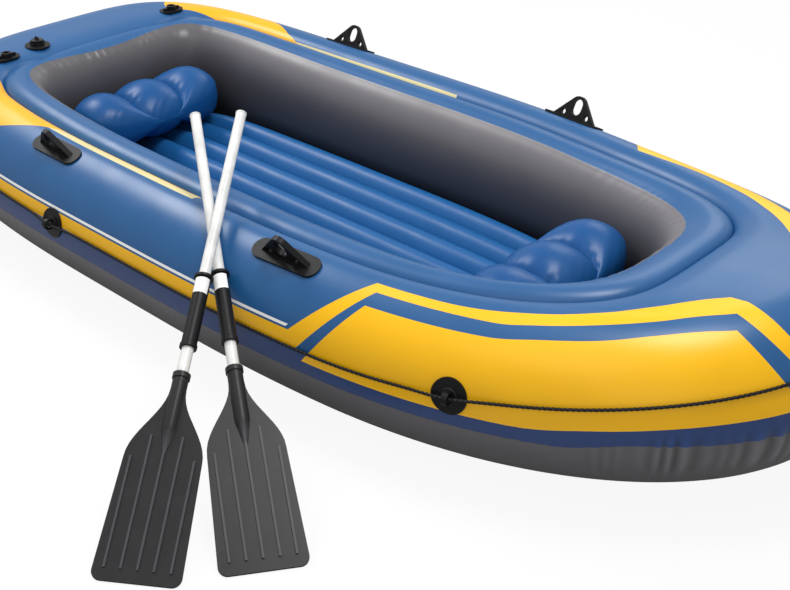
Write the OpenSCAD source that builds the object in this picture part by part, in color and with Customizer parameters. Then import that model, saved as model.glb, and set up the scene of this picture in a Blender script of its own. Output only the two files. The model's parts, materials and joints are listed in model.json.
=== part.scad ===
// Inflatable rowing boat with a pair of take-apart oars.
// +X points to the bow, +Y to port, +Z up. The origin is on the ground under the middle of the hull.

/* [Hull] */
// Length of the hull over bow and stern
hull_l = 2950; // [2800:10:3100]
// Width of the hull over the side tubes
hull_w = 1370; // [1300:10:1450]
// Width of a side tube
tube_w = 352; // [330:2:370]
// Height of a side tube
tube_h = 382; // [360:2:400]
// Widest place of the outline, measured from midship towards the bow
beam_x = -83; // [-150:1:0]
// Roundness of the bow outline, 2 is an ellipse
bow_round = 2.35; // [2.1:0.05:2.8]
// Roundness of the stern outline
stern_round = 4.3; // [3.5:0.1:5]
// How far the bow sweeps up
bow_rise = 72; // [0:1:100]
// Where the bow starts to sweep up, from midship
bow_rise_from = 487; // [300:1:700]
// How far the stern sweeps up
stern_rise = 32; // [0:1:60]
// Where the stern starts to sweep up, from midship
stern_rise_from = 418; // [300:1:700]

/* [Cockpit] */
// Inner wall at the bow, from midship
cockpit_bow = 912; // [880:1:930]
// Inner wall at the stern, from midship
cockpit_stern = 1030; // [1010:1:1050]
// Clear width between the inner walls
cockpit_w = 666; // [640:2:680]
// Depth of the welded crease between the two air chambers
crease_d = 26; // [0:1:30]
// Thickness of the bottom sheet
sheet_t = 2.5; // [1.5:0.5:4]

/* [Floor and seats] */
// Number of long ribs in the floor
floor_ribs = 7; // [5:1:9]
// Width of the floor
floor_w = 690; // [640:5:700]
// Height of the floor's rib crests
floor_h = 125; // [90:1:130]
// Length of a seat, fore and aft
seat_l = 230; // [200:5:240]
// Width of a seat
seat_w = 520; // [480:5:530]
// Height of a seat
seat_h = 172; // [140:2:190]
// Middle of the bow seat, from midship
bow_seat_x = 682; // [670:1:715]
// Middle of the stern seat, from midship
stern_seat_x = -893; // [-897:1:-870]

/* [Fittings] */
// Diameter of the grab rope
rope_d = 8; // [6:0.5:9]
// Forward oarlocks, from midship
fore_lock_x = 346; // [300:1:400]
// Aft oarlocks, from midship
aft_lock_x = -539; // [-600:1:-480]
// Width of the round-ended oar hole in an oarlock
lock_hole_w = 34; // [30:1:36]
// Height of the oar hole
lock_hole_h = 48; // [44:1:50]
// Motor mount fittings, out from the middle line
mount_y = 332; // [280:1:340]
// Bore of a motor mount fitting
mount_bore_d = 18; // [12:1:22]
// Main valve, out from the middle line to starboard
valve_y = 205; // [150:1:230]

/* [Oars] */
// Length of an oar
oar_l = 1220; // [1180:5:1260]
// Width of the blade's end
blade_w = 185; // [160:1:200]
// Length of the blade with its socket
blade_l = 468; // [440:1:500]
// Diameter of the aluminium shaft
shaft_d = 27; // [25:0.5:28]
// Outer diameter of the oarlock sleeve
sleeve_d = 36; // [34:0.5:40]
// Length of the oarlock sleeve
sleeve_l = 190; // [150:5:220]

/* [Hidden] */
// Hull sections
tube_p = tube_w / 2;
tube_q = tube_h / 2;
bow_l = hull_l / 2 - tube_p - beam_x;
stern_l = hull_l / 2 - tube_p + beam_x;
half_beam = hull_w / 2 - tube_p;
inner_bow_l = cockpit_bow - beam_x;
inner_stern_l = cockpit_stern + beam_x;
inner_bow_round = 3.4;
inner_stern_round = 9;
chamber_gap = 0.5;
// How far each chamber's top curves down into the crease
crease_w = 75;
fit_gap = 0.3;
// How deep a welded patch beds into the film, and how far its blank reaches before the tube's curve is cut
weld_sink = 2;
bed_t = 11;
station_step = 5;
section_step = 15;
// Shares of the way from the crest to the crease, and on from the crease to the cockpit wall
TOP_STEPS = [0.4, 0.7, 0.88, 1];
WALL_STEPS = [0.08, 0.2, 0.4, 0.65, 0.85, 0.96];
// Floor: steps across a rib, depth of the welded edge and the pinch between two ribs
FLOOR_STEPS = 6;
FLOOR_ROWS = 20;
floor_inset = 45;
floor_edge_h = 8;
floor_pinch = 0.6;
// Seats: lobes side by side, steps across a lobe and rows from end to end
SEAT_LOBES = 3;
SEAT_STEPS = 8;
SEAT_ROWS = 14;
seat_pinch = 0.56;
seat_mid = 0.46;
seat_crown = 1.08;
// Rope holders: bow, three along each side, stern, as turns round the hull from the bow to port
HOLDER_TURN = [0, 53, 102, 130, 180, 230, 258, 307];
// Rope: height along the sides, how it climbs with the sweep and how high it stands off the hull
rope_h = 217;
rope_climb = 1;
rope_lift = rope_d / 2 + 0.8;
// Rope holder: eye and round base patch
eye_h = 17;
eye_r = 9.5;
eye_l = 13;
eye_wall = 5;
patch_r = 41;
patch_t = 4;
patch_crown = 4.5;
// Oarlocks: port fore, port aft, starboard aft, starboard fore
LOCK_PLACE = [[fore_lock_x, 1], [aft_lock_x, 1], [aft_lock_x, -1], [fore_lock_x, -1]];
lock_turn = 66;
lock_base_l = 198;
lock_base_w = 58;
lock_wall = 8;
lock_t = 14;
lock_foot = 74;
lock_sill = 14;
shoulder_hole_d = 17;
shoulder_hole = [40, 15];
// Shares of the way from the stern tube's crest to the cockpit wall at which its fittings stand
mount_shelf = 0.3;
valve_shelf = 0.42;
mount_base_l = 88;
mount_base_w = 54;
mount_h = 18;
mount_wall = 7;
mount_web_l = 64;
mount_web_h = 12;
mount_web_t = 8;
// Two-stage valve: welded base, screwed insert and push-in cap
valve_flange_r = 40;
valve_neck_r = 24;
valve_bore_r = 18;
valve_top = 12;
insert_r = 22;
insert_bore_r = 12;
insert_rim_t = 4.2;
knurl_r = 1.6;
insert_top = valve_top + fit_gap + insert_rim_t;
cap_r = 19;
cap_tab_r = 12;
inner_valve_u = 262;
// Small push-in valve of a seat or the floor
stem_flange_r = 15;
stem_r = 8;
stem_bore_r = 5;
stem_h = 9;
floor_valve_x = -420;
// Oars: tip on the ground, heading in plan and lean up from the ground
OAR_TIP = [[768, -1032], [611, -1236]];
OAR_HEADING = [145.8, 126.0];
OAR_LEAN = [25.82, 26.86];
// Blade: plate, ribs, shoulder into the socket and rounded end corners
BLADE_RIBS = 5;
blade_t = 6;
rib_t = 3;
rib_w = 5;
rib_from = 26;
blade_corner = 20;
blade_shoulder = 265;
blade_neck = 430;
blade_taper = 0.09;
socket_d = 35;
socket_l = 130;
socket_taper = 60;
socket_rim = 12;
socket_depth = 95;
// Shaft, the sleeve that turns in the oarlock, and the end cap
shaft_wall = 1.6;
shaft_from = blade_l - socket_depth;
sleeve_from = 533;
sleeve_rim = 10;
flange_d = 46;
flange_t = 7;
cap_t = 4;
cap_plug = 25;

// Power that keeps the sign
function spow(v, e) = sign(v) * pow(abs(v), e);

// Even steps of u give even steps along the squarer stern half as well
function turn(u) =
    let (a = u < 180 ? u : 360 - u, t = a < 90 ? a : 90 + 45 * (1 - cos(2 * (a - 90))))
    u < 180 ? t : 360 - t;

// Point of a bow-to-stern outline at turn u
function outline(u, bow, stern, half_w, bow_n, stern_n) =
    let (t = turn(u), fore = cos(t) > 0, n = fore ? bow_n : stern_n)
    [beam_x + (fore ? bow : stern) * spow(cos(t), 2 / n), half_w * spow(sin(t), 2 / n)];

function centre(u) = outline(u, bow_l, stern_l, half_beam, bow_round, stern_round);
// The cockpit wall: rounded at the bow, and at the squarer stern in step with the tubes' centre line
function inner(u) =
    let (c = centre(u), n = inner_stern_round, d = [(beam_x - c[0]) / stern_l, c[1] / half_beam],
        s = pow(pow(abs(d[0]), n) + pow(abs(d[1]), n), -1 / n))
    cos(u) > 0 ? outline(u, inner_bow_l, inner_stern_l, cockpit_w / 2, inner_bow_round, inner_stern_round)
    : [beam_x - inner_stern_l * d[0] * s, cockpit_w / 2 * d[1] * s];
function outward(u) =
    let (d = centre((u + 0.5) % 360) - centre((u + 359.5) % 360))
    [d[1], -d[0]] / norm(d);
function heading(u) = atan2(outward(u)[1], outward(u)[0]);

// Turn at which the tubes' centre line reaches x on the port side
function turn_at(x) =
    x > beam_x
    ? acos(pow((x - beam_x) / bow_l, bow_round / 2))
    : 90 + acos(1 - (acos(-pow((beam_x - x) / stern_l, stern_round / 2)) - 90) / 45) / 2;

// Upward sweep of the bow and stern
function rise(x) =
    x > bow_rise_from ? bow_rise * pow((x - bow_rise_from) / (beam_x + bow_l - bow_rise_from), 2)
    : x < -stern_rise_from ? stern_rise * pow((x + stern_rise_from) / (stern_l - beam_x - stern_rise_from), 2)
    : 0;

// Outer half of a tube section at angle a from level, with the height at h above the surface
function outer_point(u, a, h = 0) =
    let (c = centre(u), lean = section_lean(a))
    concat(c + outward(u) * (tube_p * cos(a) + h * cos(lean)),
        sheet_t + rise(c[0]) + tube_q * (1 + sin(a)) + h * sin(lean)
        - (a > 0 ? crease_dip(u, crease(u) * reach_in(u) + tube_p * cos(a)) : 0));
function section_lean(a) = atan2(sin(a) / tube_q, cos(a) / tube_p);
function section_r(a) = pow(pow(tube_p * sin(a), 2) + pow(tube_q * cos(a), 2), 1.5) / (tube_p * tube_q);

// Inner half: f runs from the tube's crest, 0, to the cockpit wall, 1, with side 1 on top and -1 below
function wall_round(u) = 2.6 + (cos(u) < 0 ? 1.4 * pow(cos(u), 2) : 0);
function inner_point(u, f, side) =
    let (c = centre(u), m = wall_round(u), g = pow(max(0, 1 - pow(f, m)), 1 / m))
    concat(c + (inner(u) - c) * f, sheet_t + rise(c[0]) + tube_q * (1 + side * g)
        - (side > 0 ? crease_dip(u, (f - crease(u)) * reach_in(u)) : 0));
function reach_in(u) = norm(inner(u) - centre(u));
function gap_share(u) = chamber_gap / reach_in(u);

// Share of that way at which the chambers are welded together: near the crest along the sides, further in at
// both ends, and shallower across the stern, where fittings stand
function crease(u) = 0.14 + (cos(u) > 0 ? 0.46 * pow(cos(u), 4) : 0.52 * astern(u));
function crease_dip(u, d) = crease_d * (1 - 0.75 * astern(u)) * pow(max(0, 1 - abs(d) / crease_w), 2);
// Runs from 0 along the sides to 1 across the stern, round the corner between them
function astern(u) =
    let (k = max(0, min(1, ((u < 180 ? u : 360 - u) - 125) / 30)))
    k * k * (3 - 2 * k);

// Stations round the hull, moved to a rope holder where one is near
STATIONS = [for (a = [0:station_step:359])
    let (near = [for (h = HOLDER_TURN) if (abs(h - a) <= station_step / 2) h])
    len(near) > 0 ? near[0] : a];

// Closed ring of sections, each a closed loop of points
module ring_solid(rows) {
    n = len(rows);
    m = len(rows[0]);
    polyhedron([for (r = rows) each r], [for (i = [0:n - 1], j = [0:m - 1])
        let (a = i * m, b = ((i + 1) % n) * m, k = (j + 1) % m)
        each [[a + j, b + k, a + k], [a + j, b + j, b + k]]]);
}

// Row of sections closed at each end by a fan round the middle of the last loop
function mean(points) = [for (p = points) 1] * points / len(points);
module loft_solid(rows) {
    n = len(rows);
    m = len(rows[0]);
    last = (n - 1) * m;
    polyhedron(concat([for (r = rows) each r], [mean(rows[0]), mean(rows[n - 1])]), concat(
        [for (i = [0:n - 2], j = [0:m - 1])
            let (a = i * m, b = (i + 1) * m, k = (j + 1) % m)
            each [[a + j, b + k, a + k], [a + j, b + j, b + k]]],
        [for (j = [0:m - 1]) [n * m, j, (j + 1) % m]],
        [for (j = [0:m - 1]) [n * m + 1, last + (j + 1) % m, last + j]]));
}

// Places a fitting with its +Z out of the hull and its +Y along the tube
module on_tube(u, a) {
    translate(outer_point(u, a)) rotate([0, 90 - section_lean(a), heading(u)]) children();
}

// The tube's own curve under a fitting that is bedded into the film, or that far over it
module tube_hollow(a, over = -weld_sink) {
    r = section_r(a) + over + weld_sink;
    translate([0, 0, over - r]) rotate([90, 0, 0]) cylinder(h = hull_w, r = r, center = true, $fn = 96);
}

module main_chamber() {
    color("royalblue") ring_solid([for (u = STATIONS) let (f = crease(u)) concat(
        [for (a = [-90:section_step:90]) outer_point(u, a)],
        [for (w = TOP_STEPS) inner_point(u, f * w, 1)],
        [inner_point(u, f, -1), inner_point(u, f / 2, -1)])]);
}

module inner_chamber() {
    color("dimgray") ring_solid([for (u = STATIONS) let (f = crease(u) + gap_share(u)) concat(
        [inner_point(u, f, 1)],
        [for (w = WALL_STEPS) inner_point(u, f + (1 - f) * w, 1)],
        [inner_point(u, 1, 1)],
        [for (k = [len(WALL_STEPS) - 1:-1:0]) inner_point(u, f + (1 - f) * WALL_STEPS[k], -1)],
        [inner_point(u, f, -1)])]);
}

// Sheet across the bottom, from the lowest line of one side tube to the other
module bottom_sheet() {
    color("gray") loft_solid([for (u = STATIONS) if (u > 0 && u < 180)
        let (c = centre(u), z = rise(c[0]))
        concat(
            [for (k = [1:-0.5:-1]) [c[0], c[1] * k, z]],
            [for (k = [-1:0.5:1]) [c[0], c[1] * k, z + sheet_t - fit_gap]])]);
}

// Half-width share of a rounded rectangle at share s of its half-length
function corner(s, n) = pow(1 - pow(abs(s), n), 1 / n);
// Height share across lobes welded together, each n lobes wide in v from -1 to 1
function lobes(v, n, pinch) =
    let (g = v * n / 2 + (n - 1) / 2, c = g - round(g))
    pinch + (1 - pinch) * pow(max(0, cos(180 * c)), 0.6);

module floor_mattress() {
    length = cockpit_bow + cockpit_stern - 2 * floor_inset;
    mid = (cockpit_bow - cockpit_stern) / 2;
    side = floor_ribs * FLOOR_STEPS;
    color("steelblue") loft_solid([for (k = [1:FLOOR_ROWS - 1])
        let (s = -cos(180 * k / FLOOR_ROWS), x = mid + s * length / 2, z = rise(x) + sheet_t + fit_gap,
            half = floor_w / 2 * corner(s, s > 0 ? 2.9 : 5), crown = (floor_h - floor_edge_h) * corner(s, 8))
        concat(
            [for (j = [0:6]) [x, half * 0.94 * (1 - j / 3), z]],
            [for (j = [0:side]) let (v = j * 2 / side - 1, edge = 0.35 + 0.65 * corner(v, 14))
                [x, half * v, z + floor_edge_h + crown * lobes(v, floor_ribs, floor_pinch) * edge]])]);
}

// Lobes side by side, flat where they rest on the floor
module seat(mid) {
    base = sheet_t + floor_h + 2 * fit_gap;
    side = SEAT_LOBES * SEAT_STEPS;
    color("cornflowerblue") loft_solid([for (k = [1:SEAT_ROWS - 1])
        let (s = -cos(180 * k / SEAT_ROWS), x = mid + s * seat_l / 2, y = seat_w / 2 * corner(s, 3.2),
            z = base + rise(x), t = seat_h / 2 * corner(s, 1.9))
        concat(
            [for (j = [side:-2:0]) let (v = j * 2 / side - 1)
                [x, y * v * 0.995, z + max(0, seat_h * seat_mid - t * seat_swell(v) - 1)]],
            [for (j = [1:side - 1]) let (v = j * 2 / side - 1)
                [x, y * v, z + seat_h * seat_mid + t * seat_crown * seat_swell(v)]])]);
}
function seat_swell(v) = lobes(v, SEAT_LOBES, seat_pinch) * corner(v, 7);

module bow_seat() {
    seat(bow_seat_x);
}

module stern_seat() {
    seat(stern_seat_x);
}

// Grab rope round the outside, through every holder
function rope_angle(u) = asin((rope_h + rope_climb * rise(centre(u)[0]) - tube_q) / tube_q);
function rope_point(u) = outer_point(u, rope_angle(u), len(search(u, HOLDER_TURN)) > 0 ? eye_h : rope_lift);

module grab_rope() {
    r = rope_d / 2;
    color("black") ring_solid([for (u = STATIONS)
        let (c = rope_point(u), n = outward(u))
        [for (b = [0:45:359]) c + r * [n[0] * cos(b), n[1] * cos(b), sin(b)]]]);
}

// Welded patch with a moulded eye for the rope
module rope_holder(i) {
    u = HOLDER_TURN[i];
    a = rope_angle(u);
    eye_out = eye_r + eye_wall;
    color("black") on_tube(u, a) difference() {
        union() {
            intersection() {
                translate([0, 0, -bed_t]) cylinder(h = bed_t + patch_t, r = patch_r, $fn = 64);
                tube_hollow(a, patch_t);
            }
            translate([0, 0, patch_t - 2])
                cylinder(h = patch_crown, r1 = eye_out + 7, r2 = eye_out + 2, $fn = 64);
            translate([0, 0, eye_h]) rotate([90, 0, 0])
                cylinder(h = eye_l, r = eye_out, center = true, $fn = 48);
            translate([-eye_out, -eye_l / 2, 0]) cube([2 * eye_out, eye_l, eye_h]);
        }
        translate([0, 0, eye_h]) rotate([90, 0, 0])
            cylinder(h = 3 * patch_r, r = eye_r, center = true, $fn = 48);
        tube_hollow(a);
    }
}

// Round-ended slot as an outline
module slot(w, h) {
    translate([0, (h - w) / 2]) circle(d = w, $fn = 48);
    translate([0, (w - h) / 2]) circle(d = w, $fn = 48);
    square([w, h - w], center = true);
}

// Side view of an oarlock's upright: a round top over the oar hole, flanks that touch it, and shoulder holes
module lock_arch() {
    ring_r = lock_hole_w / 2 + lock_wall;
    hole_z = lock_sill + lock_hole_h / 2;
    ring_z = hole_z + (lock_hole_h - lock_hole_w) / 2;
    reach = norm([lock_foot, ring_z]);
    touch = sqrt(reach * reach - ring_r * ring_r);
    flank = atan2(ring_z, lock_foot) + asin(ring_r / reach);
    side = [lock_foot - touch * cos(flank), touch * sin(flank)];
    difference() {
        union() {
            translate([0, ring_z]) circle(r = ring_r, $fn = 64);
            polygon([[-lock_foot, 0], [lock_foot, 0], side, [-side[0], side[1]]]);
        }
        translate([0, hole_z]) slot(lock_hole_w, lock_hole_h);
        for (k = [-1, 1]) translate([k * shoulder_hole[0], shoulder_hole[1]])
            circle(d = shoulder_hole_d, $fn = 32);
    }
}

module oarlock(i) {
    x = LOCK_PLACE[i][0];
    u = LOCK_PLACE[i][1] > 0 ? turn_at(x) : 360 - turn_at(x);
    color("black") on_tube(u, lock_turn) difference() {
        union() {
            translate([0, 0, -bed_t]) linear_extrude(bed_t + patch_t) slot(lock_base_w, lock_base_l);
            rotate([90, 0, 90]) linear_extrude(lock_t, center = true) lock_arch();
        }
        tube_hollow(lock_turn);
    }
}

// Turn at which the flat shelf behind the stern tube's crest is y out from the middle line, to port
function shelf_turn(y, f, low = 90, high = 180) =
    let (mid = (low + high) / 2)
    high - low < 0.01 ? mid
    : inner_point(mid, f, 1)[1] > y ? shelf_turn(y, f, mid, high)
    : shelf_turn(y, f, low, mid);

// Places a fitting upright on the stern shelf
module on_shelf(y, f) {
    p = inner_point(shelf_turn(abs(y), f), f, 1);
    translate([p[0], y, p[2]]) children();
}

// Oval patch with an upright socket
module motor_mount(y) {
    color("black") on_shelf(y, mount_shelf) difference() {
        union() {
            translate([0, 0, -weld_sink])
                linear_extrude(weld_sink + patch_t) slot(mount_base_w, mount_base_l);
            cylinder(h = mount_h, d = mount_bore_d + 2 * mount_wall, $fn = 64);
            translate([-mount_web_t / 2, -mount_web_l / 2, 0]) cube([mount_web_t, mount_web_l, mount_web_h]);
        }
        translate([0, 0, patch_t]) cylinder(h = mount_h, d = mount_bore_d, $fn = 64);
    }
}

module motor_mount_port() {
    motor_mount(mount_y);
}

module motor_mount_starboard() {
    motor_mount(-mount_y);
}

module valve_base() {
    difference() {
        union() {
            translate([0, 0, -weld_sink]) cylinder(h = weld_sink + patch_t, r = valve_flange_r, $fn = 96);
            cylinder(h = valve_top, r = valve_neck_r, $fn = 96);
        }
        translate([0, 0, patch_t - 1]) cylinder(h = valve_top, r = valve_bore_r, $fn = 96);
    }
}

module valve_insert() {
    difference() {
        union() {
            translate([0, 0, patch_t])
                cylinder(h = valve_top - patch_t + 1, r = valve_bore_r - fit_gap, $fn = 96);
            translate([0, 0, valve_top + fit_gap]) {
                cylinder(h = insert_rim_t, r = insert_r, $fn = 96);
                for (b = [0:30:359]) rotate(b) translate([insert_r, 0])
                    cylinder(h = insert_rim_t, r = knurl_r, $fn = 24);
            }
        }
        translate([0, 0, patch_t + 3]) cylinder(h = insert_top, r = insert_bore_r, $fn = 96);
    }
}

module valve_cap() {
    translate([0, 0, patch_t + 5])
        cylinder(h = insert_top - patch_t - 4, r = insert_bore_r - fit_gap, $fn = 64);
    translate([0, 0, insert_top + fit_gap]) {
        cylinder(h = patch_t, r = cap_r, $fn = 64);
        translate([0, 0, patch_t - 1]) rotate([90, 0, 0]) linear_extrude(patch_t, center = true) finger_tab();
    }
}

// Half-round tab
module finger_tab() {
    difference() {
        circle(r = cap_tab_r, $fn = 48);
        translate([-2 * cap_tab_r, -2 * cap_tab_r]) square([4 * cap_tab_r, 2 * cap_tab_r]);
    }
}

module main_valve_base() {
    color("black") on_shelf(-valve_y, valve_shelf) valve_base();
}

module main_valve_insert() {
    color("black") on_shelf(-valve_y, valve_shelf) valve_insert();
}

module main_valve_cap() {
    color("gray") on_shelf(-valve_y, valve_shelf) valve_cap();
}

// The inner chamber's valve is on the starboard cockpit wall
module on_wall() {
    d = inner(inner_valve_u + 0.5) - inner(inner_valve_u - 0.5);
    translate(inner_point(inner_valve_u, 1, 1)) rotate([0, 90, atan2(d[0], -d[1])]) children();
}

module inner_valve_base() {
    color("black") on_wall() valve_base();
}

module inner_valve_insert() {
    color("black") on_wall() valve_insert();
}

module inner_valve_cap() {
    color("gray") on_wall() valve_cap();
}

module stem() {
    difference() {
        union() {
            translate([0, 0, -weld_sink]) cylinder(h = weld_sink + 2, r = stem_flange_r, $fn = 64);
            cylinder(h = stem_h, r = stem_r, $fn = 48);
        }
        translate([0, 0, 1.2]) cylinder(h = 2 * stem_h, r = stem_bore_r, $fn = 48);
    }
}

module plug() {
    translate([0, 0, 3]) cylinder(h = stem_h - 2, r = stem_bore_r - fit_gap, $fn = 48);
    translate([0, 0, stem_h + fit_gap]) {
        cylinder(h = 2, r = stem_r, $fn = 48);
        linear_extrude(2) translate([stem_r + 3, 0]) slot(7, 14);
    }
}

// On the flat forward end of the bow seat and the flat after end of the stern seat
module on_seat_end(mid, way) {
    x = mid + way * seat_l / 2 * cos(180 / SEAT_ROWS);
    translate([x, 0, sheet_t + floor_h + seat_h * seat_mid + rise(x)]) rotate([0, way * 90, 0]) children();
}

module bow_seat_valve() {
    color("whitesmoke") on_seat_end(bow_seat_x, 1) stem();
}

module bow_seat_plug() {
    color("whitesmoke") on_seat_end(bow_seat_x, 1) plug();
}

module stern_seat_valve() {
    color("whitesmoke") on_seat_end(stern_seat_x, -1) stem();
}

module stern_seat_plug() {
    color("whitesmoke") on_seat_end(stern_seat_x, -1) plug();
}

// On the crest of the floor's outer starboard rib
module on_floor() {
    translate([floor_valve_x, -floor_w / 2 * (1 - 1 / floor_ribs), sheet_t + floor_h + fit_gap]) children();
}

module floor_valve() {
    color("whitesmoke") on_floor() stem();
}

module floor_valve_plug() {
    color("whitesmoke") on_floor() plug();
}

// Places an oar, drawn up +Z from its tip, leaning on the starboard side with its blade's end on the ground
module lean_oar(i) {
    tip = concat(OAR_TIP[i], blade_t / 2 * cos(OAR_LEAN[i]));
    translate(tip) rotate([0, 90 - OAR_LEAN[i], OAR_HEADING[i]]) rotate([0, 0, 90]) children();
}

// Half-width of the blade at height z: nearly straight sides, then a shoulder into the socket
function blade_half(z) =
    let (full = blade_w / 2 * (1 - blade_taper), neck = socket_d / 2)
    z < blade_shoulder ? blade_w / 2 * (1 - blade_taper * z / blade_shoulder)
    : neck + (full - neck) * (1 + cos(180 * (z - blade_shoulder) / (blade_neck - blade_shoulder))) / 2;

module blade() {
    edge = concat(
        [for (b = [-90:15:0]) [blade_w / 2, blade_corner] + blade_corner * [cos(b) - 1, sin(b)]],
        [for (z = [blade_shoulder:15:blade_neck]) [blade_half(z), z]]);
    pitch = blade_w / (BLADE_RIBS + 0.4);
    difference() {
        union() {
            rotate([90, 0, 0]) linear_extrude(blade_t, center = true)
                polygon(concat(edge, [for (k = [len(edge) - 1:-1:0]) [-edge[k][0], edge[k][1]]]));
            for (k = [0:BLADE_RIBS - 1])
                let (x = (k - (BLADE_RIBS - 1) / 2) * pitch, top = blade_shoulder + 105 - abs(x) * 1.5)
                translate([x - rib_w / 2, -blade_t / 2 - rib_t, rib_from])
                    cube([rib_w, blade_t + 2 * rib_t, top - rib_from]);
            translate([0, 0, blade_l - socket_l]) cylinder(h = socket_l, d = socket_d, $fn = 64);
            translate([0, 0, blade_l - socket_l - socket_taper])
                cylinder(h = socket_taper, d1 = blade_t + 4, d2 = socket_d, $fn = 64);
            translate([0, 0, blade_l - socket_rim]) cylinder(h = socket_rim, d = socket_d + 5, $fn = 64);
        }
        translate([0, 0, shaft_from - 2]) cylinder(h = blade_l, d = shaft_d + 2 * fit_gap, $fn = 64);
    }
}

module shaft() {
    translate([0, 0, shaft_from]) difference() {
        cylinder(h = oar_l - cap_t - shaft_from, d = shaft_d, $fn = 64);
        translate([0, 0, -1]) cylinder(h = oar_l, d = shaft_d - 2 * shaft_wall, $fn = 64);
    }
}

module sleeve() {
    translate([0, 0, sleeve_from]) difference() {
        union() {
            cylinder(h = sleeve_l, d = sleeve_d, $fn = 64);
            cylinder(h = sleeve_rim, d = sleeve_d + 4, $fn = 64);
            translate([0, 0, sleeve_l - flange_t]) cylinder(h = flange_t, d = flange_d, $fn = 64);
        }
        translate([0, 0, -1]) cylinder(h = sleeve_l + 2, d = shaft_d, $fn = 64);
    }
}

// End cap with its plug inside the shaft
module cap() {
    translate([0, 0, oar_l - cap_t]) cylinder(h = cap_t, d = shaft_d + 2, $fn = 64);
    translate([0, 0, oar_l - cap_t - cap_plug])
        cylinder(h = cap_plug + 1, d = shaft_d - 2 * shaft_wall, $fn = 64);
}

module oar_blade(i) {
    color("#454545") lean_oar(i) blade();
}

module oar_shaft(i) {
    color("white") lean_oar(i) shaft();
}

module oar_sleeve(i) {
    color("#3a3a3a") lean_oar(i) sleeve();
}

module oar_cap(i) {
    color("white") lean_oar(i) cap();
}

main_chamber();
inner_chamber();
bottom_sheet();
floor_mattress();
bow_seat();
bow_seat_valve();
bow_seat_plug();
stern_seat();
stern_seat_valve();
stern_seat_plug();
floor_valve();
floor_valve_plug();
grab_rope();
for (i = [0:7]) rope_holder(i);
for (i = [0:3]) oarlock(i);
motor_mount_port();
motor_mount_starboard();
main_valve_base();
main_valve_insert();
main_valve_cap();
inner_valve_base();
inner_valve_insert();
inner_valve_cap();
for (i = [0:1]) oar_blade(i);
for (i = [0:1]) oar_shaft(i);
for (i = [0:1]) oar_sleeve(i);
for (i = [0:1]) oar_cap(i);
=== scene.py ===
"""Dresses an inflatable rowing boat and its oars: printed vinyl, rope, moulded plastic, coated tube."""
import json
import math

import bmesh
import bpy
import numpy as np
from bpy.props import FloatProperty, FloatVectorProperty, IntProperty, PointerProperty
from mathutils import Matrix, Vector


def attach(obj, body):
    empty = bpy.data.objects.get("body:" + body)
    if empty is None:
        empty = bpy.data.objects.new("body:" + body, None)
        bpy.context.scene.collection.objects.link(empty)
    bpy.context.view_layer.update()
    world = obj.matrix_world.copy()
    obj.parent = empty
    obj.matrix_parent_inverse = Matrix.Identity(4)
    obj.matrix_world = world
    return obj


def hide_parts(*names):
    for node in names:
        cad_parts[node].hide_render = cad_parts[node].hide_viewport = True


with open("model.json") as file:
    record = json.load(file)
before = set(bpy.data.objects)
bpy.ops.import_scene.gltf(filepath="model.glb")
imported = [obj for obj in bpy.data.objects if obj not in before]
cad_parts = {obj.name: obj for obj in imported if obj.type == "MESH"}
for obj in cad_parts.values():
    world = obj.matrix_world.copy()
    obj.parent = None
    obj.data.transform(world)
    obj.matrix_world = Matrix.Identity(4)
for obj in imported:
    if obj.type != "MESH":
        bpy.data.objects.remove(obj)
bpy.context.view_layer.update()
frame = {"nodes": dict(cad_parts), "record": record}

bl_info = {
    "name": "Inflatable rowing boat",
    "version": (1, 0, 0),
    "blender": (4, 5, 0),
    "location": "View3D > Sidebar > Boat",
    "description": "Makes the chambers, floor, seats, rope, fittings and oars of an inflatable rowing boat",
    "category": "Add Mesh",
}

BODY = {n: body for body, nodes in frame["record"]["behaviour"]["bodies"].items() for n in nodes}
# Turns round the hull, from the bow to port, at which the rope passes through a holder
HOLDER_TURN = (0, 53, 102, 130, 180, 230, 258, 307)
# Gaps left between the chambers, and between the bottom sheet and what lies on it
CHAMBER_GAP, SHEET_GAP = 0.0005, 0.0003
# How far the rope lies off the film, how much further at a holder, and how far along that lift fades
ROPE_GAP, HOLDER_LIFT, HOLDER_FADE = 0.0008, 0.0122, 0.06
# Half the thickness of a blade over its ribs, and how closely a point has to match it
RIB_CREST, RIB_MATCH = 0.006, 0.001
# Labels on the oars' sleeves: way that they face, drop below the sleeve's end, length, half wrap in degrees
LABEL_SIDE = (0.62, -0.63, 0.47)
LABEL_DROP, LABEL_LENGTH, LABEL_WRAP = 0.011, 0.04, 60
# How far a label's edge and its face stand off the sleeve
LABEL_FOOT, LABEL_FACE = 0.0002, 0.0006
# Angles in degrees: facets of one flat face differ by less, and edges that look sharp differ by more
FLAT_ANGLE, SHARP_ANGLE = 1, 35
# Distance at which doubled points of a mesh are merged
MERGE = 1e-5
# Range in which most of a noise's values lie, for a map of them to another range
NOISE_SPAN = {"From Min": 0.3, "From Max": 0.7}

# The hull's print is placed by the distance along the hull from the bow, and by the distance over its section
# from its widest line, both in metres. First the edges of the bow's outline and panel, as such pairs
OUTLINE_TOP = ((0.930, 0.236), (0.775, 0.236), (0.565, 0.256), (0.449, 0.281), (0.311, 0.318),
               (0.216, 0.331), (0.150, 0.318))
OUTLINE_IN = ((0.880, 0.212), (0.654, 0.212), (0.557, 0.224), (0.445, 0.242), (0.333, 0.259),
              (0.255, 0.268), (0.189, 0.262))
PANEL_TOP = ((0.922, 0.174), (0.641, 0.177), (0.548, 0.190), (0.438, 0.203), (0.333, 0.221),
             (0.267, 0.226), (0.205, 0.220))
PANEL_FOOT = ((1.040, 0.0), (0.580, 0.0), (0.420, 0.017), (0.247, 0.034), (0.140, 0.038))
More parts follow.
